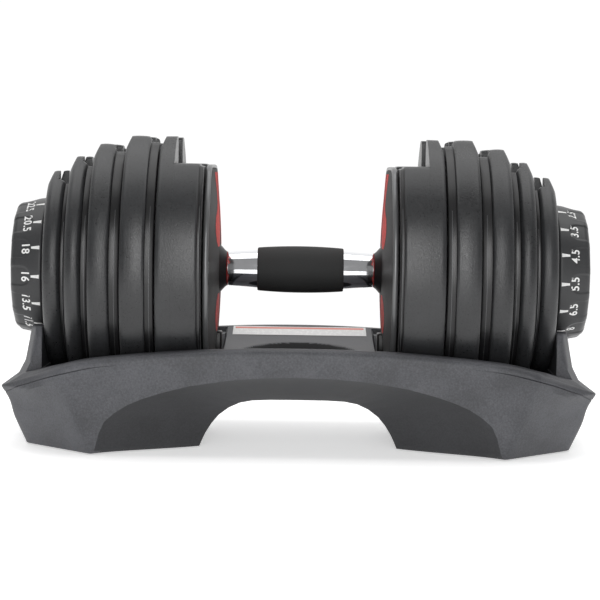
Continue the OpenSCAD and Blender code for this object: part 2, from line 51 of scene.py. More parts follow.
class Net:
    """One material's node tree. add() makes a node from its type, its socket values and its settings."""

    def __init__(self, name):
        self.material = bpy.data.materials.new(name)
        self.material.use_nodes = True
        self.tree = self.material.node_tree
        self.tree.nodes.clear()
        self.place = self.add("ShaderNodeTexCoord")["Object"]

    def feed(self, target, value):
        if isinstance(value, Sock):
            self.tree.links.new(value.out, target)
        else:
            target.default_value = value

    def add(self, kind, sockets=None, **settings):
        node = self.tree.nodes.new(kind)
        for key, value in settings.items():
            setattr(node, key, value)
        for key, value in (sockets or {}).items():
            self.feed(node.inputs[key], value)
        return Node(self, node)

    def noise(self, size_mm, detail=3.0, rough=0.55, stretch=(1, 1, 1)):
        """Noise whose grain is about size_mm across, from 0 to 1."""
        where = self.add("ShaderNodeMapping", {"Vector": self.place, "Scale": stretch})["Vector"]
        return self.add("ShaderNodeTexNoise", {"Vector": where, "Scale": 1000.0 / size_mm, "Detail": detail,
                                               "Roughness": rough})["Fac"]

    def ramp(self, value, low, high):
        """0 below low and 1 above high, smooth between."""
        return self.add("ShaderNodeMapRange", {"Value": value, "From Min": low, "From Max": high},
                        interpolation_type="SMOOTHSTEP")["Result"]

    def blend(self, share, a, b):
        """Mix of two colours."""
        node = self.add("ShaderNodeMix", data_type="RGBA")
        self.feed(node.node.inputs["Factor"], share)
        self.feed(node.node.inputs[6], a)
        self.feed(node.node.inputs[7], b)
        return Sock(self, node.node.outputs[2])

    def bump(self, height, depth_mm, under=None):
        sockets = {"Height": height, "Strength": 1.0, "Distance": depth_mm * MM}
        if under is not None:
            sockets["Normal"] = under
        return self.add("ShaderNodeBump", sockets)["Normal"]

    def finish(self, color, rough, **more):
        names = {"metal": "Metallic", "normal": "Normal", "specular": "Specular IOR Level"}
        sockets = {"Base Color": color, "Roughness": rough}
        sockets.update({names[k]: v for k, v in more.items()})
        shader = self.add("ShaderNodeBsdfPrincipled", sockets)
        out = self.add("ShaderNodeOutputMaterial")
        self.tree.links.new(shader.node.outputs["BSDF"], out.node.inputs["Surface"])
        return self.material


class Node:
    def __init__(self, net, node):
        self.net, self.node = net, node

    def __getitem__(self, name):
        return Sock(self.net, self.node.outputs[name])


class Sock:
    """A node's output that can be used in sums."""

    def __init__(self, net, out):
        self.net, self.out = net, out

    def _math(self, operation, a, b):
        return self.net.add("ShaderNodeMath", {0: a, 1: b}, operation=operation)["Value"]

    def __add__(self, other):
        return self._math("ADD", self, other)

    def __sub__(self, other):
        return self._math("SUBTRACT", self, other)

    def __mul__(self, other):
        return self._math("MULTIPLY", self, other)

    def __rsub__(self, other):
        return self._math("SUBTRACT", other, self)

    __radd__ = __add__
    __rmul__ = __mul__

    def least(self, other):
        return self._math("MINIMUM", self, other)


def grained_plastic(name, color, light, rough, grain_mm, depth_mm, streak=0.0, specular=0.5):
    """Moulded plastic with an even spark texture, faint cloudy shade changes and a little handling polish."""
    net = Net(name)
    clouds = net.noise(38, 4)
    specks = net.noise(grain_mm, 2, 0.6)
    fine = net.noise(grain_mm * 0.45, 1)
    share = clouds * 0.55 + specks * 0.45
    tone = net.blend(net.ramp(share, 0.3, 0.7), (*color, 1), (*light, 1))
    shine = net.ramp(clouds, 0.35, 0.65) * 0.07 + specks * 0.10 + (rough - 0.085)
    if streak:
        shine = shine + net.noise(9, 2, stretch=(0.2, 1, 1)) * streak - streak / 2
    height = specks * 0.65 + fine * 0.35
    return net.finish(tone, shine, normal=net.bump(height, depth_mm), specular=specular)


def make(name, bm, material, body, nodes=(), crease=32):
    """Turns a bmesh in millimetres into a smooth shaded piece that rides on a body."""
    bmesh.ops.remove_doubles(bm, verts=bm.verts, dist=0.002)
    bmesh.ops.recalc_face_normals(bm, faces=bm.faces)
    bm.transform(Matrix.Scale(MM, 4))
    mesh = bpy.data.meshes.new(name)
    bm.to_mesh(mesh)
    bm.free()
    mesh.shade_smooth()
    mesh.set_sharp_from_angle(angle=math.radians(crease))
    mesh.materials.append(material)
    piece = bpy.data.objects.new(name, mesh)
    bpy.context.scene.collection.objects.link(piece)
    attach(piece, body)
    if nodes:
        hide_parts(*nodes)
    return piece


def loft(bm, rings, closed=True, caps=(False, False)):
    """Skins a list of equally long point rings."""
    rows = [[bm.verts.new(p) for p in ring] for ring in rings]
    count = len(rows[0])
    for a, b in zip(rows, rows[1:]):
        for j in range(count if closed else count - 1):
            k = (j + 1) % count
            corners = []
            for v in (a[j], a[k], b[k], b[j]):
                if all((v.co - c.co).length > 1e-5 for c in corners):
                    corners.append(v)
            if len(corners) > 2:
                bm.faces.new(corners)
    for wanted, row in zip(caps, (rows[0], rows[-1])):
        if wanted:
            bm.faces.new(row)
    return rows


def lerp(a, b, t):
    return a + (b - a) * t


def smooth(t):
    t = min(1.0, max(0.0, t))
    return t * t * (3 - 2 * t)


def fillet(points, radii, steps=5):
    """A closed outline with each corner rounded to its own radius."""
    out = []
    for i, r in enumerate(radii):
        p = Vector(points[i])
        a = Vector(points[i - 1]) - p
        b = Vector(points[(i + 1) % len(points)]) - p
        if r <= 0:
            out.append(tuple(p))
            continue
        half = a.angle(b) / 2
        reach = min(r / math.tan(half), a.length * 0.49, b.length * 0.49)
        start, end = p + a.normalized() * reach, p + b.normalized() * reach
        for s in range(steps + 1):
            t = s / steps
            q = start.lerp(p, t).lerp(p.lerp(end, t), t)
            out.append(tuple(q))
    return out


RIM_H = 76.2
RIM_CURVE = 1196.0
END_X, RIM_Y = 213.4, 106.9
# The rim's arc turns into the steeper fall here, and the fall ends at the tips of the tray.
SLOPE_X = 160.0
TIP_Z = 44.5
RIM_EASE = 6.0
TRAY_Z = 1.0


def soft_min(a, b, k):
    """The lesser of two heights, eased over a difference of k."""
    h = max(k - abs(a - b), 0.0) / k
    return min(a, b) - h * h * k / 4


def rim_z(x):
    """Height of the tray's rim along its length: a long arc, then a steeper fall to the end."""
    x = abs(x)
    arc = RIM_H - x * x / (2 * RIM_CURVE)
    shoulder = RIM_H - SLOPE_X ** 2 / (2 * RIM_CURVE)
    fall = shoulder - (x - SLOPE_X) * (shoulder - TIP_Z) / (END_X - SLOPE_X)
    return soft_min(arc, fall, RIM_EASE)


def ring_of(corners, rounding):
    """An eight-sided plan as evenly divided points, its corners eased by repeated averaging."""
    line = []
    for i, n in enumerate([240, 48, 60, 48, 240, 48, 60, 48]):
        a, b = Vector(corners[i]), Vector(corners[(i + 1) % 8])
        line += [a.lerp(b, k / n) for k in range(n)]
    for _ in range(rounding):
        line = [(line[j - 1] + line[j] * 2 + line[(j + 1) % len(line)]) / 4 for j in range(len(line))]
    return [tuple(p) for p in line]


# Point i of each ring faces the same way, starting at the front left.
TOP_RING = ring_of([(-165, -RIM_Y), (165, -RIM_Y), (END_X, -60), (END_X, 60), (165, RIM_Y), (-165, RIM_Y),
                    (-END_X, 60), (-END_X, -60)], 6)
FOOT_RING = ring_of([(-143, -99.8), (143, -99.8), (195.5, -48), (195.5, 48), (143, 99.8), (-143, 99.8),
                     (-195.5, 48), (-195.5, -48)], 12)


def read_table(table, t):
    """Value at t in a table of (t, value)."""
    for (t0, v0), (t1, v1) in zip(table, table[1:]):
        if t <= t1:
            return lerp(v0, v1, (t - t0) / (t1 - t0))
    return table[-1][1]


ARCH_EDGE = [(0, 56.6), (25, 56.0), (49, 53.9), (75, 49.8), (94, 44.8), (108, 40.2), (118, 35.8),
             (127, 30.0), (134.5, 23.5), (139.5, 15), (143, 7), (145.4, TRAY_Z)]


def edge_z(x):
    """Lower edge of the outer wall over the arch."""
    return read_table(ARCH_EDGE, abs(x))


# Share of the way from rim plan to foot plan, going down: the ends run in below their tip, then down.
END_DRAFT = [(0, 0), (0.06, 0.12), (0.14, 0.24), (0.22, 0.335), (0.29, 0.40), (0.36, 0.445), (0.43, 0.48),
             (0.55, 0.56), (1, 1)]
# Height where the wall turns inward, on the long sides and at the ends, and how fast the ends lean above it
KNEE_Z, END_KNEE_Z, END_LEAN = 62.0, 43.5, 0.12


def wall_point(i, z):
    """Point of the outer wall at height z: vertical near the rim, then drawn in to the foot."""
    top, foot = TOP_RING[i], FOOT_RING[i]
    ends = smooth((abs(top[0]) - 150) / 45)
    knee = lerp(min(KNEE_Z, rim_z(top[0]) - 3), END_KNEE_Z, ends)
    if z >= knee:
        inward = (z - knee) * END_LEAN * ends / math.hypot(*top)
        return top[0] * (1 - inward), top[1] * (1 - inward)
    t = (knee - z) / (knee - TRAY_Z)
    share = lerp(t, read_table(END_DRAFT, t), ends)
    return lerp(top[0], foot[0], share), lerp(top[1], foot[1], share)


slate = grained_plastic("slate spark-textured moulding", (0.040, 0.041, 0.046), (0.096, 0.098, 0.109),
                        0.52, 1.25, 0.14)
# A darker copy of the slate for the flares and tunnel inside the arch: painted shade where the arch shades
# itself.
arch_shade_slate = grained_plastic("slate moulding inside the arch, darkened as painted shade", (0.018, 0.0184, 0.0205),
                               (0.038, 0.039, 0.043), 0.60, 1.25, 0.12)
# Depth of the seam under the rim; it starts to open SEAM_FROM out from the middle, over SEAM_FADE.
SEAM, SEAM_FROM, SEAM_FADE = 6.0, 106.0, 56.0


def seam_open(x):
    """How open the seam is: a groove over the feet that fades out over the arch."""
    return smooth((abs(x) - SEAM_FROM) / SEAM_FADE)


bm = bmesh.new()
count = len(TOP_RING)
SKIRT_ROWS = 22
rows = []
# The first two rows turn in under the rim and make the lower side of the seam.
for s in range(-2, SKIRT_ROWS + 1):
    ring = []
    for i in range(count):
        x = TOP_RING[i][0]
        groove = seam_open(x)
        top = rim_z(x) - SEAM - 0.65 * groove
        low = TRAY_Z
        if abs(TOP_RING[i][1]) > 70:
            # the wall ends where it meets the mouth of the arch
            px = x
            for _ in range(4):
                px = wall_point(i, edge_z(px))[0]
            low = edge_z(px)
        z = lerp(top, low, max(s, 0) / SKIRT_ROWS)
        px, py = wall_point(i, z)
        if s < 0:
            inset = (0.5 if s == -1 else 2.6) * groove / math.hypot(px, py)
            px, py, z = px * (1 - inset), py * (1 - inset), z + (0.45 if s == -1 else 0.5) * groove
        ring.append((px, py, z))
    rows.append(ring)
loft(bm, rows)
bottom = rows[-1]

# Flares from the mouth of the arch to the tunnel, then the tunnel itself.
TUNNEL_HALF, TUNNEL_Y = 70.5, 53.0
ARCH = [(0, 34.9), (20, 34.8), (33, 34.2), (42, 32.5), (50, 28.8), (57, 23.5), (62, 17.5), (66, 11),
        (68.6, 5.5), (TUNNEL_HALF, TRAY_Z)]


def arch_at(share):
    """Point of the arch's half outline at a share of its length."""
    at = [0.0]
    for a, b in zip(ARCH, ARCH[1:]):
        at.append(at[-1] + math.dist(a, b))
    want = share * at[-1]
    for k in range(len(ARCH) - 1):
        if want <= at[k + 1] + 1e-9:
            t = (want - at[k]) / (at[k + 1] - at[k])
            return lerp(ARCH[k][0], ARCH[k + 1][0], t), lerp(ARCH[k][1], ARCH[k + 1][1], t)
    return ARCH[-1]


bm.faces.ensure_lookup_table()
first_flare = len(bm.faces)
tunnel_ends = []
for face in (-1, 1):
    mouth = sorted([p for p in bottom if p[1] * face > 70 and abs(p[0]) <= 145.7], key=lambda p: p[0])
    at = [0.0]
    for a, b in zip(mouth, mouth[1:]):
        at.append(at[-1] + math.dist(a, b))
    rings = []
    for f in range(13):
        t = f / 12
        ring = []
        for p, d in zip(mouth, at):
            share = 2 * d / at[-1] - 1
            ax, az = arch_at(abs(share))
            ax *= -1 if share < 0 else 1
            turn = smooth(t) * 0.25 + t * 0.75
            x, z = lerp(p[0], ax, turn), lerp(p[2], az, turn)
            y = lerp(p[1], face * TUNNEL_Y, t)
            ring.append((x, y, z))
        rings.append(ring)
    loft(bm, rings, closed=False)
    tunnel_ends.append(rings[-1])
loft(bm, [tunnel_ends[0], [(p[0], 0, p[2]) for p in tunnel_ends[0]], tunnel_ends[1]], closed=False)
first_sole = len(bm.faces)
# Soles of the two feet
for s in (-1, 1):
    edge = [p for p in bottom if p[0] * s > 0 and (abs(p[0]) >= 145.3 or abs(p[1]) < 70)]
    edge = sorted(edge, key=lambda p: math.atan2(p[1], p[0] * s - 60))
    inner = [(s * TUNNEL_HALF, TUNNEL_Y, TRAY_Z), (s * TUNNEL_HALF, -TUNNEL_Y, TRAY_Z)]
    bm.faces.new([bm.verts.new(p) for p in edge + inner])
skirt = make("tray_skirt", bm, slate, "tray", ["tray_base"], 28)
# The flare and tunnel faces take the darker slate, painted shade.
skirt.data.materials.append(arch_shade_slate)
for polygon in skirt.data.polygons:
    polygon.material_index = 1 if first_flare <= polygon.index < first_sole else 0

# ---------------------------------------------------------------------------
# Tray, upper moulding. Rounded rims, walls that go down into the wells, a hollowed saddle
# with a finger dish between them and an end wall under each dial.
# ---------------------------------------------------------------------------

MOUTH_RING = ring_of([(-163, -93.5), (163, -93.5), (182, -72), (182, 72), (163, 93.5), (-163, 93.5),
                      (-182, 72), (-182, -72)], 5)
SADDLE_Z = 65.2
SADDLE_HALF = 57.8
LIP_R = 5.2


def saddle_z(y):
    return SADDLE_Z + y * y / 940.0


bm = bmesh.new()
rings = []
# outer lip: from the seam up, round the edge, across the rim, down into the well
lip = [(0.0, -SEAM, 1.0), (0.0, -SEAM, 0.0), (0.0, -SEAM * 0.9, 0.0)]
for k in range(9):
    a = math.pi / 2 * k / 8
    lip.append((LIP_R * (1 - math.cos(a)), -LIP_R * (1 - math.sin(a)), 0.0))
for d, dz, pull in lip:
    ring = []
    for i in range(count):
        x, y = TOP_RING[i]
        top = rim_z(x)
        px, py = wall_point(i, top + dz)
        inner = MOUTH_RING[i]
        v = Vector((inner[0] - px, inner[1] - py))
        step = v.normalized() * (d + 2.4 * pull * seam_open(x))
        ring.append((px + step.x, py + step.y, top + dz))
    rings.append(ring)
for t in (0.5, 0.85, 0.95, 1.0):
    ring = []
    for i in range(count):
        base = rings[len(lip) - 1][i]
        inner = MOUTH_RING[i]
        x, y = lerp(base[0], inner[0], t), lerp(base[1], inner[1], t)
        flat = rim_z(x) if abs(x) < 186 else rim_z(lerp(x, 186 * (1 if x > 0 else -1), 0.35))
        if abs(inner[0]) > SADDLE_HALF:
            drop = 0.25 if t == 0.95 else (1.3 if t == 1.0 else 0)
        else:
            drop = (rim_z(x) - saddle_z(y)) * smooth((t - 0.3) / 0.7)
        ring.append((x, y, flat - drop))
    rings.append(ring)
for depth in (2.0, 4.5, 6.5):
    ring = []
    for i in range(count):
        x, y = MOUTH_RING[i]
        z = rings[len(lip) + 3][i][2]
        ring.append((x * 0.9985, y * 0.998, max(z - depth, 24)))
    rings.append(ring)
loft(bm, rings)
make("tray_rim", bm, slate, "tray", ["tray_deck"], 38)

# Saddle between the wells, with the finger dish
bm = bmesh.new()
NX, NY = 76, 130
DISH_R, DISH_D = 62.0, 17.3
FRAME_WELL_R = 89.2
grid = []
for i in range(NX + 1):
    x = lerp(-SADDLE_HALF, SADDLE_HALF, i / NX)
    row = []
    for j in range(NY + 1):
        y = lerp(-94.5, 94.5, j / NY)
        z = saddle_z(y)
        inside = DISH_R ** 2 - x * x - y * y
        bowl = SADDLE_Z - DISH_D + DISH_R - math.sqrt(max(inside, 0.0))
        z = soft_min(bowl, z, 1.6)
        edge = SADDLE_HALF - abs(x)
        if edge < 2.0:
            z -= 2.0 - math.sqrt(max(0, 4.0 - (2.0 - edge) ** 2))
        row.append((x, y, z))
    grid.append(row)
for i in (0, NX):
    rows = []
    for t in (0, 0.1, 0.4, 0.7, 1.0):
        row = []
        for p in grid[i]:
            well = AXIS_H - math.sqrt(max(FRAME_WELL_R ** 2 - p[1] ** 2, 0.0))
            row.append((p[0], p[1], lerp(p[2], min(p[2], well), t)))
        rows.append(row)
    loft(bm, rows, closed=False)
loft(bm, grid, closed=False)
saddle = make("tray_saddle", bm, slate, "tray", ["tray_deck"], 40)
# The finger dish gets a smoother, less shiny moulding, and its colour is darkened well below the slate:
# painted shade in the hollow.
dish_shade_moulding = grained_plastic("smoother finger dish moulding, darkened as painted shade", (0.010, 0.0104, 0.0115),
                             (0.022, 0.0225, 0.025), 0.50, 1.0, 0.06, specular=0.12)
saddle.data.materials.append(dish_shade_moulding)
for polygon in saddle.data.polygons:
    middle = polygon.center / MM
    in_dish = abs(middle.x) < 46 and middle.z < saddle_z(middle.y) - 0.5
    polygon.material_index = 1 if in_dish else 0

# Well troughs: stepped half-round cradles seen between the plates and the rims, and what stands in them
LOCK_X = 60.2
WELLS = [(SADDLE_HALF, 68.5, FRAME_WELL_R), (68.5, 124.9, 105.2), (124.9, 147.9, 98.7), (147.9, 165.1, 88.7),
         (165.1, 182.4, 77.2)]
for side, sign in SIDES.items():
    bm = bmesh.new()
    rings = []
    for x0, x1, r in WELLS:
        for x in (x0, x1):
            ring = []
            for k in range(65):
                a = math.pi * (1.0 + k / 64)
                y, z = r * math.cos(a), AXIS_H + r * math.sin(a)
                ring.append((sign * x, y, min(z, rim_z(x) - 4)))
            rings.append(ring)
    loft(bm, rings, closed=False)
    bm.faces.new([bm.verts.new(p) for p in rings[-1]])
    make(side + "_well", bm, slate, "tray", ["tray_deck"], 30)

    # End wall under the dial
    bm = bmesh.new()
    rings = []
    for j in range(81):
        v = -1 + 2 * j / 80
        y = 61 * v
        squeeze = math.sqrt(max(0.0, 1 - max(0.0, (abs(y) - 54) / 8.2) ** 2))
        cradle = AXIS_H - math.sqrt(max(51.6 ** 2 - y * y, 0.0))
        top = soft_min(cradle, 52 + 33.5 * squeeze, 5)
        reach = -max(0.0, abs(y) - 40) * 0.3
        prof = fillet([(182.6, 40), (182.6, top), (192.0 + reach, top), (196.8 + reach, 60),
                       (203.2 + reach, 47.5), (208.0 + reach, 40)], [0, 1.6, 2.6, 10, 10, 0], 6)
        rings.append([(sign * p[0], y, p[1]) for p in prof])
    loft(bm, rings, caps=(True, True))
    make(side + "_end_wall", bm, slate, "tray", ["tray_deck"], 40)

    # Post that pushes the lock pin up when the dumbbell is parked
    bm = bmesh.new()
    prof = [(0.01, 35.0), (1.9, 35.0), (1.9, 54.4), (1.2, 55.2), (0.01, 55.2)]
    turns = [k * math.pi / 16 for k in range(32)]
    rings = [[(sign * LOCK_X + r * math.cos(a), r * math.sin(a), z) for a in turns] for r, z in prof]
    loft(bm, rings)
    make(side + "_release_post", bm, slate, "tray", ["tray_deck"])

# ---------------------------------------------------------------------------
# Label on the saddle's rear slope: printed film with a thin frame, a red heading bar and grey
# lines of print too small to read.
# ---------------------------------------------------------------------------

net = Net("printed label")
split = net.add("ShaderNodeSeparateXYZ", {"Vector": net.place})
label_x, label_y = split["X"] * 1000.0, split["Y"] * 1000.0
paper = net.blend(net.noise(3, 2), (0.86, 0.86, 0.85, 1), (0.94, 0.94, 0.93, 1))
lines = net.add("ShaderNodeMath", {0: label_y * 2.4}, operation="SINE")["Value"]
words = net.noise(1.4, 2, stretch=(0.6, 0.05, 1))
print_mask = net.ramp(lines, 0.0, 0.3) * net.ramp(words, 0.42, 0.5)
tone = net.blend(print_mask * 0.3, paper, (0.30, 0.30, 0.31, 1))
head = net.ramp(label_y, 88.6, 88.9) * (1.0 - net.ramp(label_y, 93.4, 93.7))
tone = net.blend(head, tone, net.blend(net.noise(5, 2), (0.72, 0.17, 0.12, 1), (0.80, 0.24, 0.18, 1)))
margin = net.add("ShaderNodeMath", {0: label_x}, operation="ABSOLUTE")["Value"]
far_edge, near_edge = net.ramp(label_y, 94.2, 94.4), 1.0 - net.ramp(label_y, 71.4, 71.6)
border = (net.ramp(margin, 50.2, 50.4) + far_edge + near_edge).least(1.0)
tone = net.blend(border, tone, (0.80, 0.80, 0.79, 1))
label_film = net.finish(tone, net.noise(6, 2) * 0.15 + 0.3, normal=net.bump(net.noise(4, 2), 0.02))
bm = bmesh.new()
rows = [[(lerp(-52, 52, i / 40), lerp(70, 95.6, j / 24), 0.0) for i in range(41)] for j in range(25)]
rows = [[(p[0], p[1], saddle_z(p[1]) + 0.22) for p in row] for row in rows]
loft(bm, rows, closed=False)
make("tray_notice", bm, label_film, "tray", ["tray_label"])

# ---------------------------------------------------------------------------
# Handle: a chromed steel tube that tapers towards the hubs, with a barrel-shaped rubber grip
# pulled over its middle.
# ---------------------------------------------------------------------------


def on_circle(x, r, angle):
    """Point at radius r from the handle axis, at an angle from the top towards the front."""
    return x, -r * math.sin(angle), AXIS_H + r * math.cos(angle)


def revolve(bm, profile, sign=1, steps=144):
    """Turns a list of (x, r) about the handle axis."""
    turns = [2 * math.pi * k / steps for k in range(steps)]
    loft(bm, [[on_circle(sign * px, max(r, 0.01), a) for a in turns] for px, r in profile])


net = Net("polished chrome plating")
haze = net.noise(6, 4)
scuffs = net.noise(1.2, 3, stretch=(0.15, 1, 1))
chrome = net.finish(net.blend(haze, (0.80, 0.81, 0.83, 1), (0.90, 0.91, 0.93, 1)),
                    net.ramp(scuffs, 0.5, 0.8) * 0.06 + haze * 0.03 + 0.045, metal=1.0,
                    normal=net.bump(haze * 0.7 + scuffs * 0.3, 0.004))
bm = bmesh.new()
half_tube = [(53, 6.2), (53, 12.4), (52.6, 12.45), (40, 13.3), (31, 14), (12, 14)]
revolve(bm, [(-px, r) for px, r in half_tube] + half_tube[::-1])
make("handle_bar", bm, chrome, "handle", ["handle_tube"])

net = Net("black grip rubber")
clouds, grain = net.noise(22, 3), net.noise(0.5, 2, 0.7)
pores = net.noise(1.6, 2)
tone = net.blend(clouds * 0.5 + grain * 0.5, (0.016, 0.0165, 0.0165, 1), (0.030, 0.031, 0.031, 1))
grip_rubber = net.finish(tone, clouds * 0.10 + grain * 0.14 + 0.58,
                         normal=net.bump(grain * 0.7 + pores * 0.3, 0.045), specular=0.38)
bm = bmesh.new()
prof = [(-31.5, 14.1), (-31.6, 14.9), (-31.45, 15.5), (-31.0, 15.85)]
prof += [(x, 17.15 - 1.3 * (x / 31.6) ** 2) for x in range(-30, 31, 2)]
prof += [(31.0, 15.85), (31.45, 15.5), (31.6, 14.9), (31.5, 14.1)]
revolve(bm, prof, steps=160)
make("grip", bm, grip_rubber, "handle", ["grip_sleeve"], 50)

# ---------------------------------------------------------------------------
# Hubs and end frames. Black moulded cones run out to dished frame discs with a polished rim;
# a thin red ring shows where the tube enters each hub.
# ---------------------------------------------------------------------------

net = Net("red enamel ring")
red_gloss = net.finish(net.blend(net.noise(4, 2), (0.34, 0.012, 0.012, 1), (0.48, 0.03, 0.025, 1)),
                       net.noise(2, 2) * 0.1 + 0.35, normal=net.bump(net.noise(1.0, 2), 0.01))
black_satin = grained_plastic("satin black hub moulding", (0.006, 0.006, 0.0065), (0.013, 0.013, 0.0135),
                              0.40, 0.6, 0.02, specular=0.4)
frame_face = grained_plastic("textured black frame moulding", (0.014, 0.0145, 0.0145),
                             (0.030, 0.031, 0.031), 0.62, 1.3, 0.16, specular=0.28)
net = Net("polished frame rim")
band = net.noise(16, 3)
rim_gloss = net.finish(net.blend(band, (0.13, 0.132, 0.134, 1), (0.19, 0.192, 0.195, 1)),
                       net.noise(1.0, 2) * 0.08 + 0.26, metal=0.45, normal=net.bump(net.noise(0.8, 2), 0.006))


def disc_ring(x, r, top, sign):
    """A circle about the handle axis with its top cut flat and the corners eased."""
    steps, ease = 200, 6.0
    ring = []
    for j in range(steps):
        a = 2 * math.pi * j / steps
        y, z = -r * math.sin(a), r * math.cos(a)
        if top:
            z = soft_min(z, top, ease)
        ring.append((sign * x, y, AXIS_H + z))
    return ring


def dish_x(r):
    """Where the frame's dished face stands at radius r."""
    return 59.25 + 4.6 * (max(r - 19.0, 0.0) / 66.0) ** 1.35


FRAME_TOP = 76.5
for side, sign in SIDES.items():
    bm = bmesh.new()
    revolve(bm, [(53.5, 12.0), (53.52, 12.5), (53.7, 12.58), (53.95, 12.5), (53.97, 12.0)], sign)
    make(side + "_ring", bm, red_gloss, "handle", [side + "_hub_ring"])

    bm = bmesh.new()
    revolve(bm, [(53.9, 6.1), (53.9, 12.1), (54.2, 12.6), (55.6, 13.7), (58.4, 16.8), (60.0, 18.5),
                 (60.2, 18.4), (60.2, 6.1)], sign)
    make(side + "_hub", bm, black_satin, "handle", [side + "_hub_cone"], 45)

    # Dished face, from the hub out to the groove inside the rim
    bm = bmesh.new()
    rings = [disc_ring(60.0, 18.0, None, sign)]
    for k in range(25):
        r = lerp(18.9, 84.6, k / 24)
        rings.append(disc_ring(dish_x(r), r, FRAME_TOP - 3.2, sign))
    rings += [disc_ring(64.6, 85.2, FRAME_TOP - 2.8, sign), disc_ring(65.2, 85.4, FRAME_TOP - 2.6, sign)]
    loft(bm, rings)
    make(side + "_frame_face", bm, frame_face, "handle", [side + "_end_frame"], 40)

    # Rim with a rounded, glossy edge
    bm = bmesh.new()
    prof = [(65.0, 84.9), (64.2, 85.7), (63.95, 86.4), (64.1, 87.1), (64.6, 87.6), (65.4, 87.9), (66.6, 87.9),
            (67.4, 87.6), (67.9, 86.9), (68.0, 86.0), (68.0, 60.0), (68.0, 7.0)]
    loft(bm, [disc_ring(x, r, FRAME_TOP - (88 - r) if r > 70 else None, sign) for x, r in prof])
    make(side + "_frame_rim", bm, rim_gloss, "handle", [side + "_end_frame"], 40)

# ---------------------------------------------------------------------------
# Lock housings under the frames: small rounded blocks that hold the sprung lock pins.
# ---------------------------------------------------------------------------

for side, sign in SIDES.items():
    bm = bmesh.new()
    rings = []
    for y, ease in ((-7, 1.3), (-6.6, 0.6), (-5.6, 0.0), (5.6, 0.0), (6.6, 0.6), (7, 1.3)):
        prof = fillet([(57.2 + ease, -65.6 + ease), (57.2 + ease, -46.6 - ease), (58.5, -46.3 - ease),
                       (63.8, -46.3 - ease), (63.8, -65.6 + ease)], [2.0, 1.0, 1.0, 0, 0], 5)
        rings.append([(sign * p[0], y, AXIS_H + p[1]) for p in prof])
    loft(bm, rings, caps=(True, True))
    make(side + "_lock_housing", bm, black_satin, "handle", [side + "_end_frame"], 50)

# ---------------------------------------------------------------------------
# Printed trim on the frame faces: red shapes in mirrored pairs, one pair above the hub and one
# below it, laid a hair above the dished face.
# ---------------------------------------------------------------------------

net = Net("red printed trim")
wear = net.noise(2.5, 3)
tone = net.blend(net.ramp(wear, 0.3, 0.7), (0.66, 0.035, 0.03, 1), (0.86, 0.10, 0.085, 1))
trim_red = net.finish(tone, wear * 0.15 + 0.55, normal=net.bump(net.noise(0.7, 2), 0.01), specular=0.12)
# Height from the axis, and the print's inner and outer reach to either side of the middle
TRIM = [(71, 3, 25), (64, 3, 21), (56, 3, 18), (49, 3, 18), (44, 3, 24), (39, 3, 37), (33, 4, 42),
        (27, 6, 42), (21, 8, 37), (17, 12, 29)]
TRIM_LOW = [(-17, 12, 26), (-22, 6, 34), (-29, 4, 37), (-36, 4, 35), (-42, 5, 27), (-45, 9, 20)]
for side, sign in SIDES.items():
    bm = bmesh.new()
    for table in (TRIM, TRIM_LOW):
        for flank in (-1, 1):
            rings = []
            for (z0, in0, out0), (z1, in1, out1) in zip(table, table[1:]):
                for step in range(5):
                    t = step / 4
                    z, near, far = lerp(z0, z1, t), lerp(in0, in1, t), lerp(out0, out1, t)
                    row = []
                    for u in range(9):
                        y = lerp(near, far, u / 8)
                        row.append((sign * (dish_x(math.hypot(y, z)) - 0.15), flank * y, AXIS_H + z))
                    rings.append(row)
            loft(bm, rings, closed=False)
    make(side + "_trim", bm, trim_red, "handle", [side + "_face_trim"])

# ---------------------------------------------------------------------------
# Weight plates. Each is a steel plate in a satin charcoal cover with an open slot for the
# spindle, rounded edges, a narrow stepped lip towards the handle and two horns at the top.
# ---------------------------------------------------------------------------


def plate_outline(r, top, slot, corner):
    """Outline in the plane across the handle: slot walls, horn tops and the round edge."""
    top = min(top, math.sqrt(max(r * r - (slot + 2.4) ** 2, 1.0)))
    reach = math.sqrt(r * r - top * top)
    wall_steps = 10
    pts = []
    for k in range(wall_steps):
        pts.append((slot, lerp(0.0, top - corner, k / wall_steps)))
    c = min(corner, (reach - slot) * 0.45)

    def corner_arc(a, p, b, size):
        a, p, b = Vector(a), Vector(p), Vector(b)
        start, end = p + (a - p).normalized() * size, p + (b - p).normalized() * size
        return [tuple(start.lerp(p, s / 6).lerp(p.lerp(end, s / 6), s / 6)) for s in range(7)]

    start = math.atan2(top, reach)
    turn = start - c * 1.2 / r
    first = (r * math.cos(turn), r * math.sin(turn))
    pts += corner_arc((slot, 0), (slot, top), (reach, top), c)
    pts += corner_arc((slot, top), (reach, top), first, c)
    arc_steps = 150
    for k in range(1, arc_steps):
        a = turn - (math.pi + 2 * turn) * k / arc_steps
        pts.append((r * math.cos(a), r * math.sin(a)))
    # the wall and its two corners, of seven points each, mirrored on the other side of the slot
    mirror = [(-p[0], p[1]) for p in pts[:wall_steps + 14]]
    pts += mirror[::-1]
    for k in range(1, 24):
        a = math.pi + math.pi * k / 24
        pts.append((slot * math.cos(a), slot * math.sin(a)))
    return pts


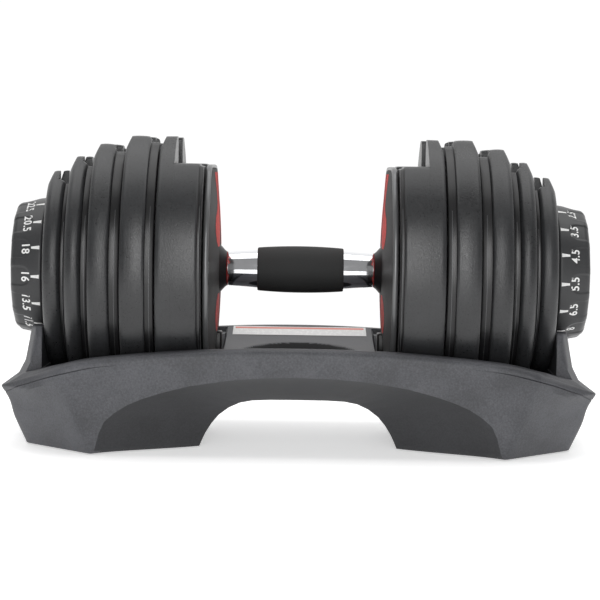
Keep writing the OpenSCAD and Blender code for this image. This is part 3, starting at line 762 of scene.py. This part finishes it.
def plate_tone(name, seed, depth_mm):
    """Charcoal plate moulding: even grain, cloudy tone changes and faint stretched marks that vary tone and
    polish.
    """
    net = Net(name)
    shift = (seed, seed * 0.7, seed * 1.3)
    drift = net.add("ShaderNodeMapping", {"Vector": net.place, "Location": shift})["Vector"]
    clouds = net.add("ShaderNodeTexNoise", {"Vector": drift, "Scale": 26.0, "Detail": 4.0})["Fac"]
    grain = net.noise(1.5, 3, 0.65)
    fine = net.noise(0.28, 1)
    marks = net.noise(3.2, 4, 0.6, stretch=(0.25, 1, 1))
    share = clouds * 0.5 + grain * 0.35 + marks * 0.15
    tone = net.blend(net.ramp(share, 0.32, 0.68), (0.015, 0.0155, 0.0165, 1), (0.030, 0.031, 0.033, 1))
    shine = clouds * 0.08 + grain * 0.22 + net.ramp(marks, 0.55, 0.75) * 0.05 + 0.16
    height = grain * 0.6 + fine * 0.25 + clouds * 0.15
    return net.finish(tone, shine, normal=net.bump(height, depth_mm), specular=0.55)


net = Net("grey painted plate steel")
flecks = net.noise(0.9, 4, 0.7)
tone = net.blend(net.ramp(flecks, 0.35, 0.65), (0.10, 0.102, 0.105, 1), (0.17, 0.172, 0.176, 1))
steel_paint = net.finish(tone, flecks * 0.2 + 0.34, metal=0.25, normal=net.bump(flecks, 0.05))
net = Net("bright steel edge")
rub = net.noise(1.5, 3, stretch=(1, 0.2, 0.2))
tone = net.blend(rub, (0.12, 0.122, 0.125, 1), (0.20, 0.203, 0.21, 1))
steel_edge = net.finish(tone, rub * 0.2 + 0.3, metal=0.6, normal=net.bump(rub, 0.01))
# The recessed band's near-black colour is painted shade in the step of each plate's edge.
band_painted_shade = grained_plastic("recessed band darkened black as painted shade", (0.006, 0.006, 0.0065), (0.012, 0.012, 0.013),
                             0.34, 0.8, 0.03)

PLATE_R = {1: 76.0, 2: 87.5, 3: 97.5, 4: 104.0, 5: 104.0}
PLATE_T = {1: 15.7, 2: 16.3, 3: 22.0, 4: 23.5, 5: 31.5}
PLATE_GAP, CHANNEL = 0.9, 8.2
plate_in = {}
x = 68.0
for k in (5, 4, 3, 2, 1):
    plate_in[k] = x + PLATE_GAP
    x = plate_in[k] + PLATE_T[k]
SLOT, WIDE = 24.5, 38.0
HORN_DROP = 7.0
# Lower, thicker shoulder of plate 5: its width and its height above the axis
SHOULDER_W, SHOULDER_H = 20.4, 77.0
# How far the edge bulges between its two rounded corners, and the radius of those corners
BULGE = {1: (1.6, 5.4), 2: (1.5, 5.0), 3: (1.1, 4.2), 4: (0.7, 3.4), 5: (0.3, 3.2)}
# Width and depth of the recessed band on the inner side of each edge
BAND = {1: (2.7, 2.8), 2: (4.4, 3.4), 3: (6.8, 3.8), 4: (6.0, 3.8), 5: (2.4, 2.6)}

for side, sign in SIDES.items():
    for k in (1, 2, 3, 4, 5):
        r0, t0, x0 = PLATE_R[k], PLATE_T[k], plate_in[k]
        x1 = x0 + t0
        top0 = r0 * 0.925
        bulge, roll = BULGE[k]
        band_w, band_d = BAND[k]
        lip_end = x0 + band_w
        channel_end = x0 + CHANNEL

        def edge_inset(px):
            """How far the edge lies below the plate's full radius at this station."""
            if px < lip_end:
                return band_d + max(0.0, 0.6 - (px - x0))
            u = (px - lip_end)
            v = (x1 - px)
            a = roll * 0.42 * (1 - math.sqrt(max(0.0, 1 - max(0.0, 1 - u / (roll * 0.6)) ** 2)))
            b = roll * 0.6 * (1 - math.sqrt(max(0.0, 1 - max(0.0, 1 - v / roll) ** 2)))
            w = u / (x1 - lip_end)
            return a + b + bulge * (1 - math.sin(math.pi * min(max(w, 0), 1)))

        stations = [x0 + d for d in (0, 0.4, 0.8)]
        stations += [lip_end + d for d in (-0.3, -0.01, 0, 0.25, 0.6, 1.1, 1.7)]
        stations += [lerp(lip_end + 2.4, x1 - 6.2, s / 14) for s in range(15)]
        stations += [x1 - d for d in (5.2, 4.2, 3.3, 2.5, 1.8, 1.2, 0.7, 0.35, 0.12, 0)]
        stations += [channel_end - 0.02, channel_end + 0.02]
        if k == 5:
            stations += [x0 + SHOULDER_W - 0.02, x0 + SHOULDER_W + 0.02]
        stations.sort()
        rings = []
        for px in stations:
            inset = edge_inset(px)
            slot = WIDE if px < channel_end else SLOT
            easing = max(0.0, 1.4 - (x1 - px)) * 0.6 + (max(0.0, 1.0 - (px - x0)) * 0.6)
            top = top0 - min(inset, 1.0) * 0.8
            top = min(top, top0 - (px - (x1 - 3.4)) * 10 / 3.4)
            top = min(top, top0 - HORN_DROP * max(0.0, 1 - (px - x0) / 2.6) ** 1.6)
            if k == 5 and px < x0 + SHOULDER_W:
                top = min(top, SHOULDER_H - min(inset, 2.5) * 0.6)
                top -= max(0.0, 1.5 - (px - x0)) * 0.5
            outline = plate_outline(r0 - inset, top, slot + easing, 2.8)
            rings.append([(sign * px, p[0], AXIS_H + p[1]) for p in outline])
        bm = bmesh.new()
        loft(bm, rings, caps=(True, True))
        tone = plate_tone("plate %d moulding %s" % (k, side), k * 0.37 + (0.2 if sign > 0 else 0),
                          0.27 if k < 4 else 0.16)
        shell = make("%s_plate_%d_shell" % (side, k), bm, tone, "%s_plate_%d" % (side, k),
                     ["%s_plate_%d_cover" % (side, k)], 34)
        # Faces of the recessed band take the near-black material, painted shade.
        shell.data.materials.append(band_painted_shade)
        for polygon in shell.data.polygons:
            px, up = abs(polygon.center.x) / MM, polygon.center.z / MM - AXIS_H
            outward = math.hypot(polygon.center.y / MM, up) > r0 - band_d - 1.0
            in_band = px < lip_end + 0.3 and outward and up < top0 - HORN_DROP
            polygon.material_index = 1 if in_band else 0

        # Bright edge of the steel plate, seen as a thin line in the step of the cover
        bm = bmesh.new()
        edge = []
        for across, sunk in ((-0.25, 0.8), (-0.2, 0.0), (-0.1, -0.15), (0.1, -0.15), (0.2, 0.0), (0.25, 0.8)):
            ring = []
            for s in range(181):
                a = math.radians(-208 + 236 * s / 180)
                r = r0 - (band_d + sunk) - 0.1
                ring.append((sign * (x0 + band_w * 0.5 + across), r * math.cos(a), AXIS_H + r * math.sin(a)))
            edge.append(ring)
        loft(bm, edge, closed=False)
        make("%s_plate_%d_edge" % (side, k), bm, steel_edge, "%s_plate_%d" % (side, k))

# ---------------------------------------------------------------------------
# Dials. Satin moulded knobs with a finger flat under every white numeral and a tick beside it;
# each knob is wider towards the plates than at its outer edge, and turns with its spindle.
# ---------------------------------------------------------------------------

SETTINGS = ["24", "2.5", "3.5", "4.5", "5.5", "6.5", "8", "9", "10", "11.5", "13.5", "16", "18", "20.5",
            "22.5"]
STEP = 2 * math.pi / len(SETTINGS)
DIAL_X, DIAL_END = 184.98, 207.68
FLAT_W = 7.9
DIAL_BORE_R = 20.2
# Outer face from its edge to the seat of the cap: radius, and depth below the dial's end
DIAL_FACE = [(40.0, 0), (38.8, 0.2), (38.0, 0.9), (37.2, 1.5), (36.0, 1.6), (24.0, 1.6), (14.2, 1.5),
             (13.4, 1.1), (13.05, 2.4)]
# Radius that turns a distance along a numeral into an angle, and how far the ink stands proud
PRINT_R, INK_LIFT = 49.0, 0.07


def dial_base(px):
    """Radius of the dial before its finger flats are pressed in."""
    d = px - DIAL_X
    r = 50.2 - 3.1 * smooth(d / 24) - d * 0.02
    lead = max(0.0, 1.2 - d)
    back = max(0.0, 4.4 - (DIAL_END - px))
    return r - lead * lead * 0.5 - (4.4 - math.sqrt(max(0.0, 4.4 ** 2 - back ** 2)))


def dial_radius(px, angle):
    """Radius with the flats. angle is measured from the top, so a numeral sits on every step."""
    r = dial_base(px)
    off = (angle / STEP - round(angle / STEP)) * STEP
    u = off * 48.5
    v = (DIAL_X + 15.2) - px
    gap = FLAT_W - (math.hypot(u, v) if v > 0 else abs(u))
    depth = 0.8 * smooth(gap / 1.8)
    flatten = 1.0 - (u / FLAT_W) ** 2 * 0.35 if abs(u) < FLAT_W else 0.65
    return r - depth * flatten


dial_satin = grained_plastic("satin dial moulding", (0.026, 0.0265, 0.028), (0.043, 0.044, 0.046),
                             0.40, 0.5, 0.02)
net = Net("white dial print")
ink = net.noise(1.1, 3)
dial_ink = net.finish(net.blend(ink, (0.80, 0.80, 0.79, 1), (0.93, 0.93, 0.92, 1)), ink * 0.15 + 0.4,
                      normal=net.bump(net.noise(0.5, 2), 0.01))


def dial_place(sign, px, angle, lift):
    """Point on the dial, at a distance along the handle and an angle from the top."""
    return on_circle(sign * px, dial_radius(px, angle) + lift, sign * angle)


for side, sign in SIDES.items():
    bm = bmesh.new()
    turns = [2 * math.pi * k / 720 for k in range(720)]
    stations = [DIAL_X + d for d in (0.0, 0.3, 0.7, 1.2, 2.0)] + [DIAL_X + 3 + 0.55 * s for s in range(28)]
    stations += [DIAL_END - d for d in (4.0, 3.5, 3.0, 2.5, 2.0, 1.5, 1.0, 0.6, 0.3, 0.1, 0.0)]
    rows = [[on_circle(sign * DIAL_X, DIAL_BORE_R, sign * a) for a in turns]]
    rows += [[dial_place(sign, px, a, 0.0) for a in turns] for px in stations]
    for r, sunk in DIAL_FACE:
        rows.append([on_circle(sign * (DIAL_END - sunk), r, sign * a) for a in turns])
    loft(bm, rows)
    make(side + "_dial_knob", bm, dial_satin, side + "_dial_set", [side + "_dial"], 50)

    bm = bmesh.new()
    cap = [(3.5, 0), (3.5, 12.9), (1.2, 12.95), (0.7, 12.5), (0.45, 11.6), (0.5, 0)]
    revolve(bm, [(DIAL_END - sunk, r) for sunk, r in cap], sign, 96)
    make(side + "_knob_cap", bm, black_satin, side + "_dial_set", [side + "_dial_cap"])

    # White numerals and wedge ticks
    bm = bmesh.new()
    for i, text in enumerate(SETTINGS):
        turn = i * STEP
        curve = bpy.data.curves.new("numeral", "FONT")
        curve.body = text
        curve.size = 8.1
        curve.align_x = "CENTER"
        curve.offset = 0.17
        curve.resolution_u = 6
        curve.space_character = 1.08
        holder = bpy.data.objects.new("numeral", curve)
        bpy.context.scene.collection.objects.link(holder)
        bpy.context.view_layer.update()
        flat = holder.evaluated_get(bpy.context.evaluated_depsgraph_get()).to_mesh()
        glyphs = bmesh.new()
        glyphs.from_mesh(flat)
        bpy.data.objects.remove(holder)
        bpy.data.curves.remove(curve)
        known = {}
        for v in glyphs.verts:
            # glyph tops face the plates; the text runs towards smaller angles on the outside view
            px = DIAL_X + 14.2 - v.co.y
            angle = turn - v.co.x / PRINT_R
            known[v.index] = bm.verts.new(dial_place(sign, px, angle, INK_LIFT))
        for f in glyphs.faces:
            bm.faces.new([known[v.index] for v in f.verts])
        glyphs.free()
        rows = []
        for s in range(7):
            px = lerp(DIAL_X + 1.4, DIAL_X + 7.4, s / 6)
            half = lerp(1.35, 0.75, s / 6)
            across = [turn + u * half / PRINT_R for u in (-1, -0.33, 0.33, 1)]
            rows.append([dial_place(sign, px, angle, INK_LIFT) for angle in across])
        loft(bm, rows, closed=False)
    make(side + "_dial_numbers", bm, dial_ink, side + "_dial_set", crease=180)

# ---------------------------------------------------------------------------
# Pieces shown as the CAD has them: spindles, selector discs, steel cores, screws, pins and feet,
# each with a finish of its own material.
# ---------------------------------------------------------------------------

net = Net("moulded nylon")
spots = net.noise(1.3, 3)
nylon = net.finish(net.blend(spots, (0.035, 0.036, 0.037, 1), (0.055, 0.056, 0.058, 1)), spots * 0.2 + 0.42,
                   normal=net.bump(spots, 0.03))
net = Net("zinc plated steel")
zinc_cloud = net.noise(2.4, 4)
zinc = net.finish(net.blend(zinc_cloud, (0.42, 0.43, 0.45, 1), (0.58, 0.59, 0.60, 1)),
                  zinc_cloud * 0.25 + 0.22, metal=1.0, normal=net.bump(zinc_cloud, 0.01))
net = Net("foot rubber")
dust = net.noise(1.0, 3)
foot_rubber = net.finish(net.blend(dust, (0.012, 0.012, 0.012, 1), (0.035, 0.035, 0.034, 1)),
                         dust * 0.15 + 0.75, normal=net.bump(dust, 0.08))

for name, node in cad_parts.items():
    if name == "tray_feet":
        finish = foot_rubber
    elif "_core" in name:
        finish = steel_paint
    elif "disc" in name or "spindle" in name:
        finish = nylon
    elif name in ("tray_screws", "tie_rod") or "screw" in name or "pin" in name or "spring" in name:
        finish = zinc
    else:
        continue
    node.data.materials.clear()
    node.data.materials.append(finish)

# ---------------------------------------------------------------------------
# Studio: a pale floor that runs into a white surround, a broad soft light above, a narrow strip
# in front, and the camera a little above the handle looking along +Y.
# ---------------------------------------------------------------------------

net = Net("pale studio floor")
floor_cloud = net.noise(400, 3)
floor_paint = net.finish(net.blend(floor_cloud, (0.90, 0.90, 0.90, 1), (0.94, 0.94, 0.94, 1)),
                         floor_cloud * 0.1 + 0.6)
shader = next(n for n in net.tree.nodes if n.type == "BSDF_PRINCIPLED")
shader.inputs["Emission Color"].default_value = (1, 1, 1, 1)
shader.inputs["Emission Strength"].default_value = 0.5
bm = bmesh.new()
loft(bm, [[(-2.5, -2.2, 0), (2.5, -2.2, 0)], [(-2.5, 0.8, 0), (2.5, 0.8, 0)]], closed=False)
mesh = bpy.data.meshes.new("floor")
bm.to_mesh(mesh)
bm.free()
mesh.materials.append(floor_paint)
floor = bpy.data.objects.new("floor", mesh)
bpy.context.scene.collection.objects.link(floor)

world = bpy.data.worlds.new("studio")
bpy.context.scene.world = world
world.use_nodes = True
tree = world.node_tree
way = tree.nodes.new("ShaderNodeTexCoord")
parts = tree.nodes.new("ShaderNodeSeparateXYZ")
glow = tree.nodes.new("ShaderNodeMapRange")
glow.interpolation_type = "SMOOTHSTEP"
for key, value in (("From Min", 0.1), ("From Max", 0.75), ("To Min", 0.30), ("To Max", 1.03)):
    glow.inputs[key].default_value = value
tree.links.new(way.outputs["Generated"], parts.inputs["Vector"])
tree.links.new(parts.outputs["Y"], glow.inputs["Value"])
tree.nodes["Background"].inputs["Color"].default_value = (1, 1, 1, 1)
# The lens sees the surround white from every side, while the lighting stays directional.
seen = tree.nodes.new("ShaderNodeLightPath")
either = tree.nodes.new("ShaderNodeMath")
either.operation = "MAXIMUM"
tree.links.new(glow.outputs["Result"], either.inputs[0])
tree.links.new(seen.outputs["Is Camera Ray"], either.inputs[1])
tree.links.new(either.outputs["Value"], tree.nodes["Background"].inputs["Strength"])


def soft_light(name, place, aim, width, height, power):
    data = bpy.data.lights.new(name, "AREA")
    data.shape = "RECTANGLE"
    data.size, data.size_y, data.energy = width, height, power
    lamp = bpy.data.objects.new(name, data)
    bpy.context.scene.collection.objects.link(lamp)
    lamp.location = place
    lamp.rotation_euler = (Vector(aim) - Vector(place)).to_track_quat("-Z", "Y").to_euler()


soft_light("overhead", (0, 0.1, 1.6), (0, 0, 0.1), 2.4, 1.2, 14)
soft_light("front strip", (0, -1.75, 0.6), (0, 0, 0.12), 0.26, 1.2, 10)

cam_data = bpy.data.cameras.new("camera")
cam_data.sensor_width = 36
cam_data.lens = 116.4
camera = bpy.data.objects.new("camera", cam_data)
bpy.context.scene.collection.objects.link(camera)
camera.location = (0, -1.430, 0.2029)
look = Matrix.Rotation(math.radians(90 - 4.0), 4, "X") @ Matrix.Rotation(math.radians(0.85), 4, "Z")
camera.rotation_euler = look.to_euler()
bpy.context.scene.camera = camera
bpy.context.scene.view_settings.view_transform = "Standard"
